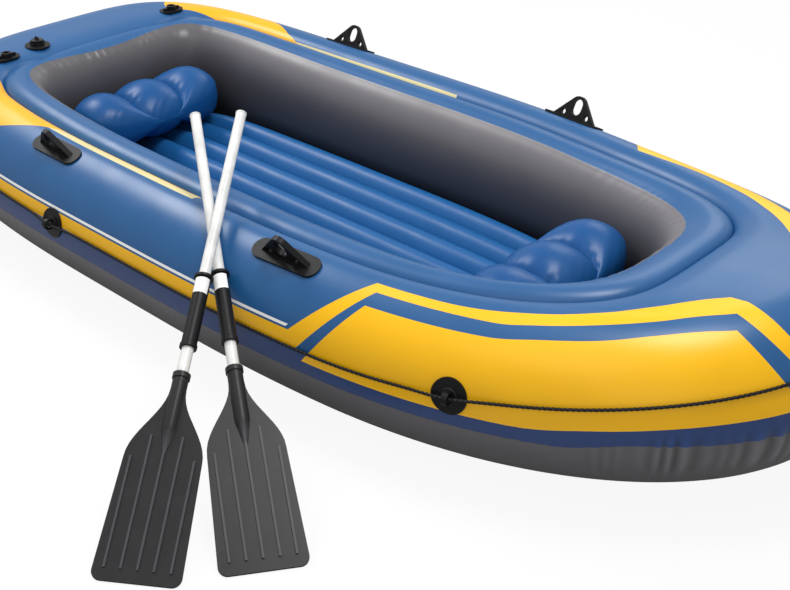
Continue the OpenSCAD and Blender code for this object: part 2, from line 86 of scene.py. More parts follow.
# Their slanted ends, the after one and the front one: (lean, place at the widest line)
OUTLINE_ENDS = ((0.905, 1.144), (-0.24, 0.082))
INSIDE_ENDS = ((0.77, 1.082), (-0.405, 0.0835))
PANEL_ENDS = ((0.68, 1.045), (-0.41, 0.114))
# Ahead of this place the outline stands on the panel's foot, and behind it on the side stripe's
OUTLINE_STEP = 0.5
# To port the outline's top climbs towards its after end
PORT_CLIMB = {"From Min": 0.35, "From Max": 0.9, "To Max": 0.03}
# Height of the blue band above the panel's foot
BAND_RISE = 0.022
# Yellow stripe along the side and the white line above it: front end, lower and upper edge. The white line's
# front end leans as the outline's after end does
STRIPE = (1.06, 0.026, 0.0615)
WHITE_LINE = (1.157, 0.0668, 0.0738)
# Pinstripe along the crease: front end, after end, gap to the crease, yellow edge, width, width less to port
PIN_FROM, PIN_TO, PIN_GAP, PIN_EDGE, PIN_WIDTH, PIN_NARROWS = 1.537, 2.25, 0.002, 0.025, 0.052, 0.041
# The stern's wedge: how much further aft it starts to port, widening for its length, start, end
WEDGE_SHIFT, WEDGE_SPREAD, WEDGE_START, WEDGE_END = 0.14, 0.5215, 2.07, 2.78
# Gap between the wedge and the crease, which widens towards the stern
WEDGE_GAP = {"From Min": 2.55, "From Max": 2.75, "To Min": 0.003, "To Max": 0.048}
# Weld of the grey bottom panel: its place at the bow and along the sides, and where it changes
WELD_BOW, WELD_SIDE, WELD_FROM, WELD_TO = -0.013, -0.035, 0.35, 0.50


def paint(code):
    """Linear colour of an sRGB hex value"""
    parts = [int(code[i:i + 2], 16) / 255 for i in (1, 3, 5)]
    return [c / 12.92 if c <= 0.04045 else ((c + 0.055) / 1.055) ** 2.4 for c in parts]


def length(name, description, default):
    """A length that the sidebar shows in metres"""
    return FloatProperty(name=name, description=description, default=default, unit="LENGTH", precision=4)


def colour(name, description, code):
    """A colour that the sidebar shows as a swatch"""
    return FloatVectorProperty(name=name, description=description, default=paint(code), subtype="COLOR",
                               min=0, max=1)


class HullSizes(bpy.types.PropertyGroup):
    """Sizes of the two air chambers and the bottom sheet"""
    hull_length: length("Length", "Hull over bow and stern", 2.95)
    hull_width: length("Width", "Hull over the side tubes", 1.37)
    tube_width: length("Tube width", "Width of a side tube", 0.352)
    tube_height: length("Tube height", "Height of a side tube", 0.382)
    beam_x: length("Beam place", "Widest place of the outline, from midship to the bow", -0.083)
    bow_round: FloatProperty(name="Bow roundness", description="2 is an ellipse", default=2.35)
    stern_round: FloatProperty(name="Stern roundness", description="2 is an ellipse", default=4.3)
    bow_rise: length("Bow rise", "How far the bow sweeps up", 0.072)
    bow_rise_from: length("Bow rise start", "Where the bow starts to sweep up", 0.487)
    stern_rise: length("Stern rise", "How far the stern sweeps up", 0.032)
    stern_rise_from: length("Stern rise start", "Where the stern starts to sweep up", 0.418)
    cockpit_bow: length("Cockpit bow", "Inner wall at the bow, from midship", 0.912)
    cockpit_stern: length("Cockpit stern", "Inner wall at the stern, from midship", 1.030)
    cockpit_width: length("Cockpit width", "Clear width between the inner walls", 0.666)
    crease_depth: length("Crease depth", "Depth of the weld between the two chambers", 0.026)
    crease_width: length("Crease width", "How far each chamber curves down into the weld", 0.075)
    slit_depth: length("Slit depth", "Depth of the slit at the weld itself", 0.010)
    slit_width: length("Slit width", "How fast the slit opens", 0.007)
    sheet: length("Bottom sheet", "Thickness of the bottom sheet", 0.0025)
    pucker: length("Pucker", "Height of the wrinkles along the welds", 0.0048)


class SoftSizes(bpy.types.PropertyGroup):
    """Sizes of the floor, the seats and the rope"""
    floor_ribs: IntProperty(name="Floor ribs", description="Long ribs in the floor", default=7)
    floor_width: length("Floor width", "Width of the floor", 0.690)
    floor_height: length("Floor height", "Height of the rib crests", 0.125)
    floor_inset: length("Floor inset", "Gap between the floor's ends and the cockpit walls", 0.045)
    seat_length: length("Seat length", "Length of a seat, fore and aft", 0.230)
    seat_width: length("Seat width", "Width of a seat", 0.520)
    seat_height: length("Seat height", "Height of a seat", 0.172)
    bow_seat_x: length("Bow seat", "Middle of the bow seat, from midship", 0.682)
    stern_seat_x: length("Stern seat", "Middle of the stern seat, from midship", -0.893)
    rope_diameter: length("Rope diameter", "Diameter of the grab rope", 0.008)
    rope_height: length("Rope height", "Height of the rope along the sides", 0.217)
    rope_lay: length("Rope lay", "Length of one turn of a strand", 0.034)
    sleeve_diameter: length("Sleeve diameter", "Diameter of an oar's sleeve", 0.036)


class Colours(bpy.types.PropertyGroup):
    """Colours of the films, mouldings and tubes"""
    blue: colour("Blue film", "Top and flanks of the hull", "#1f588d")
    # A darker copy of the blue film: painted shade on the band that faces down under the rope
    blue_in_painted_shade: colour("Blue band in painted shade", "Band under the rope", "#233f74")
    yellow: colour("Yellow print", "Stripes and bow panel", "#ffc000")
    amber: colour("Amber print", "Wedges at the stern", "#f7b200")
    white: colour("White print", "Pinstripe", "#fbfbf8")
    cream: colour("Cream print", "Pinstripe along the crease", "#dccf96")
    grey: colour("Grey film", "Underside and cockpit wall", "#5e5c5f")
    floor: colour("Floor film", "Floor", "#1c5c98")
    seat: colour("Seat film", "Seats", "#12508c")
    black: colour("Black plastic", "Fittings and rope", "#0d0d0f")
    blade: colour("Blade plastic", "Oar blades", "#252527")
    sleeve: colour("Sleeve plastic", "Oar sleeves", "#141416")
    coat: colour("White coat", "Oar shafts", "#e2e2e0")


def spow(v, e):
    """Power that keeps the sign"""
    return np.sign(v) * np.abs(v) ** e


def cosd(a):
    """Cosine of degrees"""
    return np.cos(np.radians(a))


def sind(a):
    """Sine of degrees"""
    return np.sin(np.radians(a))


def corner(s, n):
    """Half-width share of a rounded rectangle at share s of its half-length"""
    return np.maximum(0, 1 - np.abs(s) ** n) ** (1 / n)


def lobes(v, n, pinch, power=0.6):
    """Height share across n lobes welded side by side, for v from -1 to 1"""
    g = v * n / 2 + (n - 1) / 2
    c = g - np.round(g)
    return pinch + (1 - pinch) * np.maximum(0, np.cos(np.pi * c)) ** power


def ripple(s, pitch, seed):
    """Uneven waves along s with about that pitch, from -1 to 1"""
    k = 2 * math.pi / pitch * s
    return np.sin(k + 1.4 * np.sin(k / 3.7 + seed) + seed) * (0.65 + 0.35 * np.sin(k / 5.3 + 2 * seed))


def lengths(points):
    """Distance along a line of points, at each of them"""
    return np.concatenate([[0], np.cumsum(np.linalg.norm(np.diff(points, axis=0), axis=1))])


def points_of(mesh):
    """Places of a mesh's points, one row each"""
    places = np.empty(len(mesh.vertices) * 3)
    mesh.vertices.foreach_get("co", places)
    return places.reshape(-1, 3)


class HullForm:
    """Outlines and sections of the hull in metres, with turns and angles in degrees"""
    # Roundness of the cockpit's outline at the bow and at the stern, where 2 is an ellipse
    WALL_BOW, WALL_STERN = 3.4, 9
    # Roundness of the cockpit wall's section, and how much is added astern
    SECTION, SECTION_ASTERN = 2.6, 1.4
    # Share of the way in at which the chambers are welded along the sides, and how much is added at the ends
    CREASE, CREASE_BOW, CREASE_STERN = 0.14, 0.46, 0.52
    # Turn at which a side starts to bend into the stern, and how many degrees that takes
    BEND_FROM, BEND_TURN = 125, 30

    def __init__(self, size):
        self.size = size
        self.p = size.tube_width / 2
        self.q = size.tube_height / 2
        self.bow = size.hull_length / 2 - self.p - size.beam_x
        self.stern = size.hull_length / 2 - self.p + size.beam_x
        self.half = size.hull_width / 2 - self.p

    def outline(self, u, bow, stern, half, bow_n, stern_n):
        """Point of a bow-to-stern outline at turn u, with even steps along the squarer stern"""
        u = np.asarray(u, float) % 360
        a = np.where(u < 180, u, 360 - u)
        t = np.where(a < 90, a, 90 + 45 * (1 - cosd(2 * (a - 90))))
        t = np.where(u < 180, t, 360 - t)
        fore = cosd(t) > 0
        n = np.where(fore, bow_n, stern_n)
        x = self.size.beam_x + np.where(fore, bow, stern) * spow(cosd(t), 2 / n)
        return np.stack([x, half * spow(sind(t), 2 / n)], -1)

    def centre(self, u):
        """Middle line of the tubes"""
        return self.outline(u, self.bow, self.stern, self.half, self.size.bow_round, self.size.stern_round)

    def inner(self, u):
        """Line of the cockpit wall, at the squarer stern in step with the tubes' middle line"""
        z, n = self.size, self.WALL_STERN
        long, half = z.cockpit_stern + z.beam_x, z.cockpit_width / 2
        fore = self.outline(u, z.cockpit_bow - z.beam_x, long, half, self.WALL_BOW, n)
        c = self.centre(u)
        d = np.stack([(z.beam_x - c[..., 0]) / self.stern, c[..., 1] / self.half], -1)
        d = d / np.sum(np.abs(d) ** n, -1, keepdims=True) ** (1 / n)
        aft = np.stack([z.beam_x - long * d[..., 0], half * d[..., 1]], -1)
        return np.where((cosd(u) > 0)[..., None], fore, aft)

    def outward(self, u):
        """Level direction out of the hull"""
        d = self.centre(u + 0.5) - self.centre(u - 0.5)
        d = d / np.linalg.norm(d, axis=-1, keepdims=True)
        return np.stack([d[..., 1], -d[..., 0]], -1)

    def reach_in(self, u):
        """Way from the tube's crest to the cockpit wall"""
        return np.linalg.norm(self.inner(u) - self.centre(u), axis=-1)

    def rise(self, x):
        """Upward sweep of the bow and the stern"""
        z = self.size
        bow = np.maximum(0, x - z.bow_rise_from) / (z.beam_x + self.bow - z.bow_rise_from)
        stern = np.maximum(0, -x - z.stern_rise_from) / (self.stern - z.beam_x - z.stern_rise_from)
        return z.bow_rise * bow ** 2 + z.stern_rise * stern ** 2

    def crease(self, u):
        """Share of the way in at which the two chambers are welded together"""
        ends = np.where(cosd(u) > 0, self.CREASE_BOW * cosd(u) ** 4, self.CREASE_STERN * self.astern(u))
        return self.CREASE + ends

    def astern(self, u):
        """Runs from 0 along the sides to 1 across the stern, round the corner between them"""
        k = np.clip((np.where(u < 180, u, 360 - u) - self.BEND_FROM) / self.BEND_TURN, 0, 1)
        return k * k * (3 - 2 * k)

    def dip(self, u, d):
        """How far the top curves down at a distance d from the weld, with the weld's own narrow slit"""
        z = self.size
        shape = z.crease_depth * np.maximum(0, 1 - np.abs(d) / z.crease_width) ** 2
        slit = z.slit_depth * np.exp(-np.abs(d) / z.slit_width)
        return (shape + slit) * (1 - 0.75 * self.astern(u))

    def outer_point(self, u, a, lift=0.0):
        """Outer half of the section at angle a from level, lift above the film"""
        c = self.centre(u)
        lean = np.arctan2(sind(a) / self.q, cosd(a) / self.p)
        xy = c + self.outward(u) * (self.p * cosd(a) + lift * np.cos(lean))[..., None]
        dip = np.where(a > 0, self.dip(u, self.crease(u) * self.reach_in(u) + self.p * cosd(a)), 0)
        z = self.size.sheet + self.rise(c[..., 0]) + self.q * (1 + sind(a)) + lift * np.sin(lean) - dip
        return np.concatenate([xy, z[..., None]], -1)

    def wall_round(self, u):
        """Roundness of the inner half's section"""
        return self.SECTION + np.where(cosd(u) < 0, self.SECTION_ASTERN * cosd(u) ** 2, 0)

    def inner_point(self, u, f, side):
        """Inner half: f from the crest, 0, to the cockpit wall, 1, with side 1 on top and -1 below"""
        c = self.centre(u)
        m = self.wall_round(u)
        g = np.maximum(0, 1 - f ** m) ** (1 / m)
        xy = c + (self.inner(u) - c) * f[..., None]
        dip = np.where(side > 0, self.dip(u, (f - self.crease(u)) * self.reach_in(u)), 0)
        z = self.size.sheet + self.rise(c[..., 0]) + self.q * (1 + side * g) - dip
        return np.concatenate([xy, z[..., None]], -1)

    def reach(self, u):
        """Distance along the tubes' middle line from the bow, the same to port and starboard"""
        fine = np.linspace(0, 180, 3601)
        return np.interp(np.where(u < 180, u, 360 - u), fine, lengths(self.centre(fine)))

    def girth(self, a):
        """Distance over the section above its widest line"""
        fine = np.linspace(-90, 90, 1801)
        along = lengths(np.stack([self.p * cosd(fine), self.q * sind(fine)], -1))
        return np.interp(a, fine, along - along[len(fine) // 2])


def hull_form():
    """The hull as the sidebar's sizes give it"""
    return HullForm(bpy.context.scene.boat_hull)


def link(name, mesh):
    """A new object at the origin that shows a mesh"""
    piece = bpy.data.objects.new(name, mesh)
    bpy.context.scene.collection.objects.link(piece)
    return piece


def grid_mesh(name, grid, closed, values=None, sharp=50):
    """Mesh over a grid of points whose rows are loops; the rows close into a ring or end in pinched caps"""
    n, m = grid.shape[:2]
    rows = np.arange(n if closed else n - 1)
    i, j = np.meshgrid(rows, np.arange(m), indexing="ij")
    a, b = i * m, (i + 1) % n * m
    k = (j + 1) % m
    quads = np.stack([a + j, a + k, b + k, b + j], -1).reshape(-1, 4)
    mesh = bpy.data.meshes.new(name)
    mesh.from_pydata(grid.reshape(-1, 3).tolist(), [], quads.tolist())
    for key, value in (values or {}).items():
        layer = mesh.attributes.new(key, "FLOAT", "POINT")
        layer.data.foreach_set("value", np.asarray(value, np.float32).ravel())
    edit = bmesh.new()
    edit.from_mesh(mesh)
    if not closed:
        bmesh.ops.remove_doubles(edit, verts=edit.verts, dist=MERGE)
        open_edges = [e for e in edit.edges if e.is_boundary]
        if open_edges:
            bmesh.ops.holes_fill(edit, edges=open_edges, sides=0)
        bmesh.ops.dissolve_degenerate(edit, edges=edit.edges, dist=1e-6)
    bmesh.ops.recalc_face_normals(edit, faces=edit.faces)
    edit.to_mesh(mesh)
    edit.free()
    mesh.shade_smooth()
    mesh.set_sharp_from_angle(angle=math.radians(sharp))
    return mesh


def pushed(grid, closed_rows, amount):
    """Grid moved by amount along its own outward normals, both given for each point"""
    if closed_rows:
        du = np.roll(grid, -1, 0) - np.roll(grid, 1, 0)
    else:
        du = np.gradient(grid, axis=0)
    dv = np.roll(grid, -1, 1) - np.roll(grid, 1, 1)
    n = np.cross(du, dv)
    n = n / np.maximum(1e-12, np.linalg.norm(n, axis=-1, keepdims=True))
    volume = np.sum(grid * n)
    return grid + n * amount[..., None] * (1 if volume > 0 else -1)


def capped(rows, reach, steps=5):
    """Rows of a loft with a rounded end each way, which pinches the last loop to its middle line"""
    def end(row, inward):
        way = row.mean(0) - inward.mean(0)
        way = way / np.linalg.norm(way)
        mid = row[:, 2].mean()
        out = []
        for t in np.linspace(0, 90, steps + 1)[1:]:
            ring = row.copy()
            ring[:, 2] = mid + (ring[:, 2] - mid) * max(0.0, float(cosd(t)))
            out.append(ring + way * reach * float(sind(t)))
        return out
    first = end(rows[0], rows[1])[::-1]
    last = end(rows[-1], rows[-2])
    return np.concatenate([np.array(first), rows, np.array(last)])


def add(tree, kind, inputs=None, **settings):
    """Adds a node with its settings, and sets or links its inputs; a node stands for its first output"""
    made = tree.nodes.new(kind)
    for key, value in settings.items():
        setattr(made, key, value)
    for key, value in (inputs or {}).items():
        if isinstance(value, bpy.types.Node):
            value = value.outputs[0]
        if isinstance(value, bpy.types.NodeSocket):
            tree.links.new(value, made.inputs[key])
        else:
            made.inputs[key].default_value = value
    return made


def material(name, dress):
    """Material whose surface the function dress makes from an empty node tree"""
    made = bpy.data.materials.get(name)
    if made is None:
        made = bpy.data.materials.new(name)
        made.use_nodes = True
        made.node_tree.nodes.clear()
        surface = dress(made.node_tree)
        add(made.node_tree, "ShaderNodeOutputMaterial", {"Surface": surface})
    return made


def rgba(value):
    """Four channels of a sidebar colour"""
    return (*value, 1.0)


def scale_of(millimetres):
    """Noise scale that gives marks of about that size in metres of object space"""
    return 1000 / millimetres


def vinyl(tree, shade, rough=0.36, crepe=0.3, shine=0.38):
    """Calendered PVC film: a soft gloss over a fine grain, with the slow waves of a film pulled tight"""
    place = add(tree, "ShaderNodeTexCoord").outputs["Object"]
    # The real grain is under a millimetre, so it is drawn at 3 mm to show
    grain = add(tree, "ShaderNodeTexNoise", {"Vector": place, "Scale": scale_of(3), "Detail": 2.0})
    waves = add(tree, "ShaderNodeTexNoise", {"Vector": place, "Scale": scale_of(130), "Detail": 1.0})
    tint = add(tree, "ShaderNodeMapRange", {**NOISE_SPAN, "Value": waves, "To Min": 0.98, "To Max": 1.02})
    toned = add(tree, "ShaderNodeVectorMath", {0: shade, 1: tint}, operation="MULTIPLY")
    gloss = add(tree, "ShaderNodeMapRange", {**NOISE_SPAN, "Value": waves, "To Min": rough - 0.03,
                                             "To Max": rough + 0.04})
    slow = add(tree, "ShaderNodeBump", {"Height": waves, "Strength": crepe, "Distance": 0.006})
    fine = add(tree, "ShaderNodeBump", {"Height": grain, "Strength": 0.08, "Distance": 0.0006,
                                        "Normal": slow})
    return add(tree, "ShaderNodeBsdfPrincipled", {"Base Color": toned, "IOR": 1.53, "Roughness": gloss,
                                                  "Specular IOR Level": shine, "Normal": fine})


def drawn(tree, points, reach):
    """Curve through (reach, girth) places, read at reach, in metres"""
    across, up = 1.2, 0.4
    share = add(tree, "ShaderNodeMath", {0: reach, 1: across}, operation="DIVIDE")
    curve = add(tree, "ShaderNodeFloatCurve", {"Value": share})
    line = curve.mapping.curves[0].points
    ordered = sorted(points)
    while len(line) < len(ordered):
        line.new(0.5, 0.5)
    for spot, (x, y) in zip(line, ordered):
        spot.location = (x / across, y / up)
        spot.handle_type = "AUTO_CLAMPED"
    curve.mapping.update()
    return add(tree, "ShaderNodeMath", {0: curve, 1: up}, operation="MULTIPLY")


def mask(tree, *tests):
    """1 where every test holds: (value, "<" or ">", limit)"""
    result = None
    for value, way, limit in tests:
        kind = "LESS_THAN" if way == "<" else "GREATER_THAN"
        one = add(tree, "ShaderNodeMath", {0: value, 1: limit}, operation=kind)
        if result is None:
            result = one
        else:
            result = add(tree, "ShaderNodeMath", {0: result, 1: one}, operation="MULTIPLY")
    return result


def printed(tree, ground, *prints):
    """Ground colour with prints laid over it in turn, each given as its colour and the tests that bound it"""
    shade = ground
    for tone, *tests in prints:
        shade = add(tree, "ShaderNodeMix", {"Factor": mask(tree, *tests), 6: shade, 7: tone},
                    data_type="RGBA").outputs[2]
    return shade


def hull_film(tree):
    """Printed PVC hull film: blue with screen-printed stripes and a bow panel, and grey below its weld"""
    tone = bpy.context.scene.boat_colours
    reach, girth, fold, pleat = (add(tree, "ShaderNodeAttribute", attribute_name=name).outputs["Fac"]
                                 for name in ("reach", "girth", "fold", "pleat"))
    place = add(tree, "ShaderNodeTexCoord").outputs["Object"]
    across = add(tree, "ShaderNodeSeparateXYZ", {0: place}).outputs[1]
    port = mask(tree, (across, ">", 0.0))
    yellow, blue = rgba(tone.yellow), rgba(tone.blue)

    def between(ends):
        """Tests that keep a print between its slanted after and front ends"""
        tests = []
        for (lean, limit), way in zip(ends, "<>"):
            edge = add(tree, "ShaderNodeMath", {0: girth, 1: lean, 2: reach}, operation="MULTIPLY_ADD")
            tests.append((edge, way, limit))
        return tests

    after, front = between(OUTLINE_ENDS)
    foot = drawn(tree, PANEL_FOOT, reach)
    band = add(tree, "ShaderNodeMath", {0: foot, 1: BAND_RISE}, operation="ADD")
    climb = add(tree, "ShaderNodeMapRange", {**PORT_CLIMB, "Value": reach})
    crown = add(tree, "ShaderNodeMath", {0: port, 1: climb, 2: drawn(tree, OUTLINE_TOP, reach)},
                operation="MULTIPLY_ADD")
    # The stern's wedge and the pinstripe that runs into it lie along the crease, and meet further aft to port
    along = add(tree, "ShaderNodeMath", {0: port, 1: -WEDGE_SHIFT, 2: reach}, operation="MULTIPLY_ADD")
    wide = add(tree, "ShaderNodeMath", {0: along, 1: WEDGE_SPREAD, 2: -WEDGE_SPREAD * WEDGE_START},
               operation="MULTIPLY_ADD")
    close = add(tree, "ShaderNodeMapRange", {**WEDGE_GAP, "Value": reach}, interpolation_type="SMOOTHSTEP")
    pin = add(tree, "ShaderNodeMath", {0: port, 1: -PIN_NARROWS, 2: PIN_WIDTH}, operation="MULTIPLY_ADD")
    line = (reach, ">", PIN_FROM), (along, "<", PIN_TO), (fold, ">", PIN_GAP), (fold, "<", pin)
    weld = add(tree, "ShaderNodeMapRange", {"Value": reach, "From Min": WELD_FROM, "From Max": WELD_TO,
                                            "To Min": WELD_BOW, "To Max": WELD_SIDE},
               interpolation_type="SMOOTHSTEP")
    # The ground is the darker copy of the blue: painted shade on the downward-facing band below the blue
    # print
    shade = printed(
        tree, rgba(tone.blue_in_painted_shade),
        (blue, (girth, ">", band)),
        (yellow, (reach, ">", STRIPE[0]), (girth, ">", STRIPE[1]), (girth, "<", STRIPE[2])),
        (rgba(tone.white), (after[0], ">", WHITE_LINE[0]), (girth, ">", WHITE_LINE[1]),
         (girth, "<", WHITE_LINE[2])),
        (yellow, after, (girth, "<", crown), (reach, ">", OUTLINE_STEP), (girth, ">", STRIPE[1])),
        (yellow, front, (girth, "<", crown), (reach, "<", OUTLINE_STEP), (girth, ">", foot)),
        (blue, *between(INSIDE_ENDS), (girth, "<", drawn(tree, OUTLINE_IN, reach)), (girth, ">", band)),
        (yellow, *between(PANEL_ENDS), (girth, "<", drawn(tree, PANEL_TOP, reach)), (girth, ">", foot)),
        (rgba(tone.cream), *line),
        (yellow, *line, (fold, "<", PIN_EDGE), (port, "<", 0.5)),
        (rgba(tone.amber), (fold, "<", wide), (fold, ">", close), (reach, "<", WEDGE_END)),
        (rgba(tone.grey), (girth, "<", weld)))
    # The pleats are painted darker in their valleys and lighter on their crests: painted shade and painted
    # highlights
    pleat_shade_and_highlight = add(tree, "ShaderNodeMapRange", {"Value": pleat, "From Min": -1.0, "To Min": 0.55, "To Max": 1.45})
    toned = add(tree, "ShaderNodeVectorMath", {0: shade, 1: pleat_shade_and_highlight}, operation="MULTIPLY")
    return vinyl(tree, toned)


def inner_film(tree):
    """PVC film of the inner chamber: blue on top, grey on the cockpit wall below its weld"""
    tone = bpy.context.scene.boat_colours
    seam = add(tree, "ShaderNodeAttribute", attribute_name="seam").outputs["Fac"]
    place = add(tree, "ShaderNodeTexCoord").outputs["Object"]
    ahead, _, height = add(tree, "ShaderNodeSeparateXYZ", {0: place}).outputs
    # The wall's grey is painted darker towards its foot and lighter towards its top: painted shade low down
    # and a painted highlight near the top
    wall_shade_and_highlight = add(tree, "ShaderNodeMapRange", {"Value": height, "From Min": 0.12, "From Max": 0.36,
                                            "To Min": 0.3, "To Max": 1.6})
    # The stern end of the wall is painted darker: painted shade
    stern_wall_shade = add(tree, "ShaderNodeMapRange", {"Value": ahead, "From Min": -1.0, "From Max": -0.8,
                                            "To Min": 0.66})
    # Both painted shadings scale the wall's grey
    painted_wall_light = add(tree, "ShaderNodeMath", {0: wall_shade_and_highlight, 1: stern_wall_shade}, operation="MULTIPLY")
    wall = add(tree, "ShaderNodeVectorMath", {0: tone.grey[:], 1: painted_wall_light}, operation="MULTIPLY")
    return vinyl(tree, printed(tree, rgba(tone.blue), (wall, (seam, ">", 0.0))))


def plain_film(key):
    """Plain PVC film of one colour from the sidebar"""
    def dress(tree):
        return vinyl(tree, getattr(bpy.context.scene.boat_colours, key)[:], crepe=0.5, shine=0.24)
    return dress


def moulded(key, rough=0.42, spark=2.0, shine=0.36):
    """Moulded plastic: a spark-eroded grain from the mould, a faint unevenness of its colour, a painted
    highlight on rib crests that also stands for rubbing
    """
    def dress(tree):
        tone = getattr(bpy.context.scene.boat_colours, key)[:]
        place = add(tree, "ShaderNodeTexCoord").outputs["Object"]
        # The mould's grit is about 0.1 mm, drawn at the size that shows
        grit = add(tree, "ShaderNodeTexNoise", {"Vector": place, "Scale": scale_of(spark), "Detail": 3.0})
        cloud = add(tree, "ShaderNodeTexNoise", {"Vector": place, "Scale": scale_of(45), "Detail": 2.0})
        tint = add(tree, "ShaderNodeMapRange", {**NOISE_SPAN, "Value": cloud, "To Min": 0.88, "To Max": 1.12})
        # The ribs' crests are painted paler: a painted highlight where light catches them, which also stands
        # for rubbed wear; pieces without that attribute read 0
        rub = add(tree, "ShaderNodeAttribute", attribute_name="rub")
        tint_and_rib_highlight = add(tree, "ShaderNodeMath", {0: rub.outputs["Fac"], 1: 2.4, 2: tint},
                   operation="MULTIPLY_ADD")
        shade = add(tree, "ShaderNodeVectorMath", {0: tone, 1: tint_and_rib_highlight}, operation="MULTIPLY")
        gloss = add(tree, "ShaderNodeMapRange", {**NOISE_SPAN, "Value": grit, "To Min": rough - 0.06,
                                                 "To Max": rough + 0.08})
        bump = add(tree, "ShaderNodeBump", {"Height": grit, "Strength": 0.2, "Distance": 0.0004})
        return add(tree, "ShaderNodeBsdfPrincipled", {"Base Color": shade, "IOR": 1.5, "Roughness": gloss,
                                                      "Specular IOR Level": shine, "Normal": bump})
    return dress


def clear_pvc(tree):
    """Clear flexible PVC: milky and see-through, with a soft gloss"""
    place = add(tree, "ShaderNodeTexCoord").outputs["Object"]
    cloud = add(tree, "ShaderNodeTexNoise", {"Vector": place, "Scale": scale_of(9), "Detail": 2.0})
    gloss = add(tree, "ShaderNodeMapRange", {"Value": cloud, "To Min": 0.2, "To Max": 0.34})
    return add(tree, "ShaderNodeBsdfPrincipled", {"Base Color": rgba(paint("#dfe5ea")), "IOR": 1.53,
                                                  "Roughness": gloss, "Transmission Weight": 0.35})


def laid_fibre(tree):
    """Polypropylene rope: black filaments with a dull sheen, their tone uneven in fine flecks"""
    tone = bpy.context.scene.boat_colours.black[:]
    place = add(tree, "ShaderNodeTexCoord").outputs["Object"]
    # Filaments are drawn at 2 mm, coarser than real ones, to show
    fibre = add(tree, "ShaderNodeTexNoise", {"Vector": place, "Scale": scale_of(2), "Detail": 4.0})
    tint = add(tree, "ShaderNodeMapRange", {**NOISE_SPAN, "Value": fibre, "To Min": 0.7, "To Max": 1.7})
    shade = add(tree, "ShaderNodeVectorMath", {0: tone, 1: tint}, operation="MULTIPLY")
    bump = add(tree, "ShaderNodeBump", {"Height": fibre, "Strength": 0.5, "Distance": 0.0006})
    return add(tree, "ShaderNodeBsdfPrincipled", {"Base Color": shade, "Roughness": 0.55,
                                                  "Specular IOR Level": 0.25, "Normal": bump})


def fitted(piece, body, slot, look, *nodes):
    """Gives a finished piece its material and body, and hides the CAD nodes that it stands for; its slot is
    not used
    """
    piece.data.materials.clear()
    piece.data.materials.append(look)
    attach(piece, body)
    if nodes:
        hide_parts(*nodes)
    return piece


def dressed(node, slot, look, edge):
    """Copy of a CAD node with its facets merged and its edges rounded, which stands for the node"""
    edit = bmesh.new()
    edit.from_mesh(frame["nodes"][node].data)
    bmesh.ops.remove_doubles(edit, verts=edit.verts, dist=MERGE)
    bmesh.ops.dissolve_limit(edit, angle_limit=math.radians(FLAT_ANGLE), verts=edit.verts,
                             edges=edit.edges)
    mesh = bpy.data.meshes.new(node + "_skin")
    edit.to_mesh(mesh)
    edit.free()
    mesh.shade_smooth()
    mesh.set_sharp_from_angle(angle=math.radians(SHARP_ANGLE))
    piece = link(node + "_skin", mesh)
    soft = piece.modifiers.new("rounded edges", "BEVEL")
    soft.width = edge
    soft.segments = 2
    soft.limit_method = "ANGLE"
    soft.angle_limit = math.radians(SHARP_ANGLE)
    even = piece.modifiers.new("even shading", "WEIGHTED_NORMAL")
    even.weight = 100
    even.keep_sharp = True
    return fitted(piece, BODY[node], slot, look, node)


